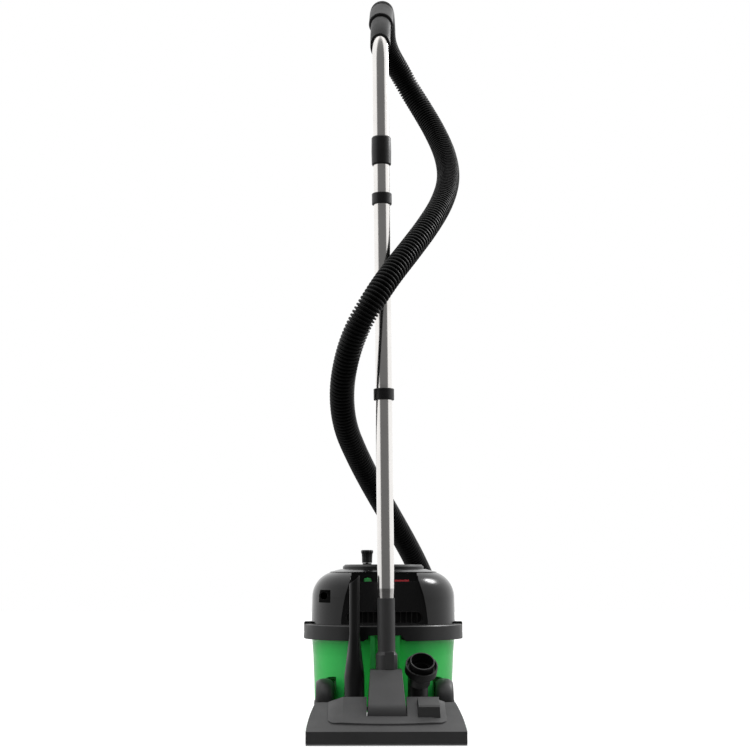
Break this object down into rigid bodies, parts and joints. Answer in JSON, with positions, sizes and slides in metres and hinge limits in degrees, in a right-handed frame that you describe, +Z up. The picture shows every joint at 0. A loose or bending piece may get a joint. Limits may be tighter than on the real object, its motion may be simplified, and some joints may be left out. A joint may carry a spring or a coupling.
{
  "type": "tub vacuum cleaner",
  "caption": "Tub vacuum cleaner on wheels with its wand, floor tool and corrugated hose parked upright in the dock behind it.",
  "frame": {"origin": "on the floor, under the centre of the object without its hose", "axes": "+Z up along the wand, +Y towards the machine's hose inlet, -Y towards the parked floor tool"},
  "size_m": [0.3233, 0.6333, 1.481],
  "materials": {
    "green_shell": "glossy moulded ABS",
    "black_gloss": "glossy moulded ABS",
    "black_satin": "satin moulded plastic",
    "wheel_plastic": "satin, slightly scuffed",
    "tool_plastic": "fine spark-eroded texture",
    "cuff_plastic": "fine spark-eroded texture",
    "hose_plastic": "corrugated, semi-matt",
    "stainless_tube": "polished stainless steel",
    "steel_bright": "zinc plated",
    "cast_aluminium": "die cast",
    "sole_plate": "pressed steel",
    "red_switch": "glossy translucent red",
    "green_button": "glossy green",
    "soft_rubber": "moulded rubber",
    "black_foam": "open-cell foam",
    "filter_cloth": "woven filter cloth",
    "bag_fleece": "non-woven fleece",
    "card_board": "pressed card",
    "bristle": "nylon tufts"
  },
  "bodies": {
    "machine": {"tub": "green_shell", "bumper_band": "black_satin", "head_shell": "black_gloss", "cable_outlet": "black_satin", "exhaust_grille": "black_satin", "exhaust_filter": "black_foam", "reel_cover": "black_gloss", "head_seal": "soft_rubber", "motor_deck": "black_satin", "motor_can": "steel_bright", "filter_frame": "black_satin", "cone_filter": "filter_cloth", "dust_bag": "bag_fleece", "bag_collar": "card_board", "inlet_socket": "black_satin", "accessory_holder": "black_satin", "rear_axle_pins": "steel_bright", "hose": "hose_plastic"},
    "rotor": {"motor_rotor": "steel_bright", "impeller": "cast_aluminium"},
    "rewind_drum": {"rewind_disc": "black_satin", "crank_pin": "steel_bright", "cable_spool": "black_satin"},
    "crank_knob": {"crank_knob": "black_satin"},
    "power_rocker": {"power_rocker": "red_switch"},
    "green_button": {"green_button": "green_button"},
    "wheel_left": {"rear_wheel_left": "wheel_plastic", "wheel_cap_left": "wheel_plastic"},
    "wheel_right": {"rear_wheel_right": "wheel_plastic", "wheel_cap_right": "wheel_plastic"},
    "caster_left": {"caster_fork_left": "steel_bright"},
    "caster_right": {"caster_fork_right": "steel_bright"},
    "caster_roller_left": {"caster_roller_left": "wheel_plastic"},
    "caster_roller_right": {"caster_roller_right": "wheel_plastic"},
    "latch_left": {"latch_left": "black_satin"},
    "latch_right": {"latch_right": "black_satin"},
    "inlet_cuff": {"inlet_cuff": "black_satin"},
    "crevice_tool": {"crevice_tool": "black_satin"},
    "dusting_brush": {"dusting_brush_body": "black_satin", "dusting_brush_rim": "black_satin"},
    "wand": {"neck_elbow": "tool_plastic", "lower_tube": "stainless_tube", "middle_tube": "stainless_tube", "bent_tube": "stainless_tube", "lower_collar": "black_satin", "upper_collar": "black_satin", "hose_cuff": "cuff_plastic"},
    "suction_ring": {"suction_ring": "black_satin"},
    "hose_swivel": {"hose_swivel": "cuff_plastic"},
    "floor_tool": {"tool_cover": "tool_plastic", "tool_sole": "sole_plate", "roller_brackets": "steel_bright"},
    "pedal": {"pedal": "tool_plastic"},
    "tool_brush": {"brush_carrier": "black_satin", "brush_bristles": "bristle"},
    "tool_roller_left": {"tool_roller_left": "wheel_plastic"},
    "tool_roller_right": {"tool_roller_right": "wheel_plastic"}
  },
  "joints": [
    {"name": "wand_lift", "type": "slide", "parent": "machine", "child": "wand", "axis": [0, 0, 1], "range_m": [0, 0.06], "deforming": ["hose"]},
    {"name": "tool_pivot", "type": "hinge", "parent": "wand", "child": "floor_tool", "pos_m": [0.001, -0.17875, 0.048], "axis": [1, 0, 0], "range_deg": [0, 65]},
    {"name": "pedal_tilt", "type": "hinge", "parent": "floor_tool", "child": "pedal", "pos_m": [0.077, -0.17075, 0.058], "axis": [1, 0, 0], "range_deg": [0, 8]},
    {"name": "brush_drop", "type": "slide", "parent": "floor_tool", "child": "tool_brush", "axis": [0, 0, -1], "range_m": [0, 0.004]},
    {"name": "tool_roller_left_spin", "type": "hinge", "parent": "floor_tool", "child": "tool_roller_left", "pos_m": [-0.106, -0.16975, 0.0088], "axis": [1, 0, 0], "continuous": true},
    {"name": "tool_roller_right_spin", "type": "hinge", "parent": "floor_tool", "child": "tool_roller_right", "pos_m": [0.104, -0.16975, 0.0088], "axis": [1, 0, 0], "continuous": true},
    {"name": "suction_ring_turn", "type": "hinge", "parent": "wand", "child": "suction_ring", "pos_m": [-0.00714, -0.11675, 1.12545], "axis": [-0.0096, 0, 1], "range_deg": [-45, 0]},
    {"name": "hose_swivel_turn", "type": "hinge", "parent": "wand", "child": "hose_swivel", "pos_m": [-0.00435, -0.0315, 1.4399], "axis": [0.0441, 0.7414, 0.6696], "continuous": true},
    {"name": "inlet_cuff_turn", "type": "hinge", "parent": "machine", "child": "inlet_cuff", "pos_m": [0, 0.23425, 0.096], "axis": [0, 1, 0], "continuous": true},
    {"name": "rewind_turn", "type": "hinge", "parent": "machine", "child": "rewind_drum", "pos_m": [0, 0.07825, 0.315], "axis": [0, 0, 1], "continuous": true},
    {"name": "crank_knob_spin", "type": "hinge", "parent": "rewind_drum", "child": "crank_knob", "pos_m": [-0.033, 0.02825, 0.34], "axis": [0, 0, 1], "continuous": true},
    {"name": "motor_spin", "type": "hinge", "parent": "machine", "child": "rotor", "pos_m": [0, 0.07825, 0.23], "axis": [0, 0, 1], "continuous": true},
    {"name": "power_rock", "type": "hinge", "parent": "machine", "child": "power_rocker", "pos_m": [0.026, -0.01625, 0.2885], "axis": [0, -1, 0], "range_deg": [0, 12]},
    {"name": "button_press", "type": "slide", "parent": "machine", "child": "green_button", "axis": [0, 0, -1], "range_m": [0, 0.003], "stiffness_N_per_m": 400, "springref_m": -0.001},
    {"name": "rear_wheel_left_roll", "type": "hinge", "parent": "machine", "child": "wheel_left", "pos_m": [-0.115, -0.02175, 0.051], "axis": [1, 0, 0], "continuous": true},
    {"name": "caster_left_swivel", "type": "hinge", "parent": "machine", "child": "caster_left", "pos_m": [-0.085, 0.17325, 0.045], "axis": [0, 0, 1], "continuous": true},
    {"name": "caster_left_roll", "type": "hinge", "parent": "caster_left", "child": "caster_roller_left", "pos_m": [-0.085, 0.16125, 0.016], "axis": [1, 0, 0], "continuous": true},
    {"name": "latch_left_open", "type": "hinge", "parent": "machine", "child": "latch_left", "pos_m": [-0.157, 0.07825, 0.1892], "axis": [0, -1, 0], "range_deg": [0, 60]},
    {"name": "rear_wheel_right_roll", "type": "hinge", "parent": "machine", "child": "wheel_right", "pos_m": [0.115, -0.02175, 0.051], "axis": [1, 0, 0], "continuous": true},
    {"name": "caster_right_swivel", "type": "hinge", "parent": "machine", "child": "caster_right", "pos_m": [0.085, 0.17325, 0.045], "axis": [0, 0, 1], "continuous": true},
    {"name": "caster_right_roll", "type": "hinge", "parent": "caster_right", "child": "caster_roller_right", "pos_m": [0.085, 0.16125, 0.016], "axis": [1, 0, 0], "continuous": true},
    {"name": "latch_right_open", "type": "hinge", "parent": "machine", "child": "latch_right", "pos_m": [0.157, 0.07825, 0.1892], "axis": [0, 1, 0], "range_deg": [0, 60]},
    {"name": "crevice_lift", "type": "slide", "parent": "machine", "child": "crevice_tool", "axis": [0, 0, 1], "range_m": [0, 0.04]},
    {"name": "dusting_brush_lift", "type": "slide", "parent": "machine", "child": "dusting_brush", "axis": [0, 0, 1], "range_m": [0, 0.03]}
  ],
  "couplings": [
    {"joint": "brush_drop", "follows": "pedal_tilt", "m_per_rad": 0.028648}
  ]
}
